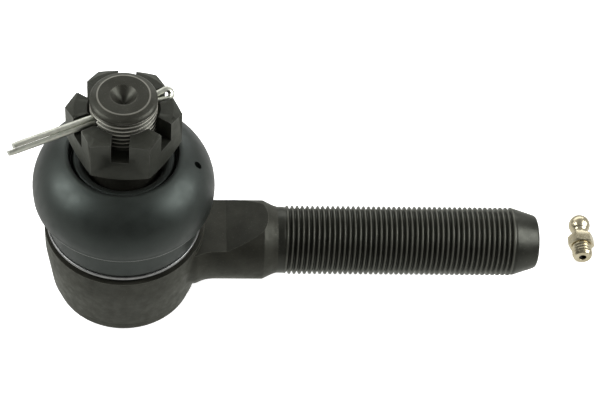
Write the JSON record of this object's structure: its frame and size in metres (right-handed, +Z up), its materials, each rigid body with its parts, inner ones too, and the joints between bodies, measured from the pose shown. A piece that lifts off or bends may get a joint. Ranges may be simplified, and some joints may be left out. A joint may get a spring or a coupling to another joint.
{
  "type": "tie rod end",
  "caption": "Steering tie rod end: greasable ball joint with castle nut and cotter pin, dust boot, left-hand threaded shank and a loose grease fitting.",
  "frame": {"origin": "centre of the ball, where the stud's axis and the shank's axis cross", "axes": "+Z up the stud towards its thread, +X out along the shank; the housing's lower rim is at Z = -17.6 mm"},
  "size_m": [0.1732, 0.0506, 0.0796],
  "materials": {
    "forged_steel": "dark phosphate on forged and turned steel",
    "bearing_steel": "ground and greased steel",
    "spring_steel": "oiled spring steel",
    "cover_steel": "dark phosphate on pressed steel",
    "stud_steel": "dark phosphate on machined steel",
    "nut_steel": "black oxide",
    "pin_wire": "bright zinc-plated half-round wire",
    "boot_rubber": "moulded satin rubber",
    "ring_steel": "bright spring steel band",
    "fitting_zinc": "yellow-tinted zinc plate"
  },
  "bodies": {
    "housing": {"socket_housing": "forged_steel", "upper_bearing": "bearing_steel", "end_cover": "cover_steel", "boot_lower_ring": "ring_steel"},
    "spring_seat": {"lower_bearing": "bearing_steel", "preload_spring": "spring_steel"},
    "boot_fold": {"dust_boot": "boot_rubber"},
    "boot_lip": {"boot_upper_ring": "ring_steel"},
    "stud": {"ball_stud": "stud_steel", "castle_nut": "nut_steel"},
    "lock_pin": {"cotter_pin": "pin_wire"},
    "grease_fitting": {"fitting_body": "fitting_zinc"},
    "check_valve": {"fitting_check_ball": "bearing_steel", "fitting_spring": "spring_steel"}
  },
  "joints": [
    {"name": "bearing_take_up", "type": "slide", "parent": "housing", "child": "spring_seat", "axis": [0, 0, -1], "range_m": [0, 0.0004], "stiffness_N_per_m": 20000, "springref_m": -0.0002, "deforming": ["preload_spring"]},
    {"name": "stud_swing_side", "type": "hinge", "parent": "housing", "child": "boot_fold", "pos_m": [0, 0, 0], "axis": [1, 0, 0], "range_deg": [-20, 20], "deforming": ["dust_boot"]},
    {"name": "stud_swing_along", "type": "hinge", "parent": "boot_fold", "child": "boot_lip", "pos_m": [0, 0, 0], "axis": [0, 1, 0], "range_deg": [-20, 20]},
    {"name": "stud_turn", "type": "hinge", "parent": "boot_lip", "child": "stud", "pos_m": [0, 0, 0], "axis": [0, 0, 1], "continuous": true},
    {"name": "cotter_pull", "type": "slide", "parent": "stud", "child": "lock_pin", "axis": [0.8934, 0.4493, 0], "range_m": [0, 0.048]},
    {"name": "fitting_lift", "type": "slide", "parent": "housing", "child": "grease_fitting", "axis": [0, 0, 1], "range_m": [0, 0.05]},
    {"name": "check_ball_press", "type": "slide", "parent": "grease_fitting", "child": "check_valve", "axis": [-0.0576, -0.9983, 0], "range_m": [0, 0.0008], "stiffness_N_per_m": 300, "springref_m": -0.0004, "deforming": ["fitting_spring"]}
  ]
}
